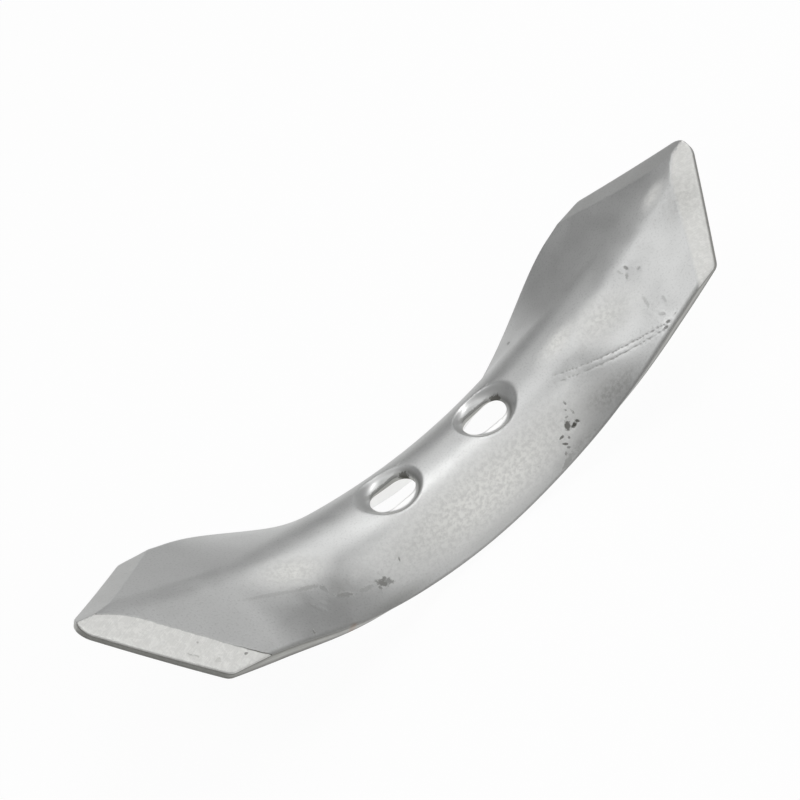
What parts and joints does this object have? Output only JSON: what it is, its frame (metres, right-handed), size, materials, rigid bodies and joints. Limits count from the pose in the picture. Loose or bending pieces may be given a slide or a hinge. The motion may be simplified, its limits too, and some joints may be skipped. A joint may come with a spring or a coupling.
{
  "type": "reversible share",
  "caption": "Double-ended forged cultivator share with a rounded middle, two bolt slots and a bevelled pointed blade at each end.",
  "frame": {"origin": "under the middle of the share, level with the lowest edge of its flanks", "axes": "+X along the share from one blade to the other, +Y across it, +Z out of the working face"},
  "size_m": [0.2796, 0.071, 0.0736],
  "materials": {
    "bare_steel": "bare bright steel, satin, with fine forging grain"
  },
  "bodies": {
    "root": {"reversible_share": "bare_steel"}
  },
  "joints": []
}
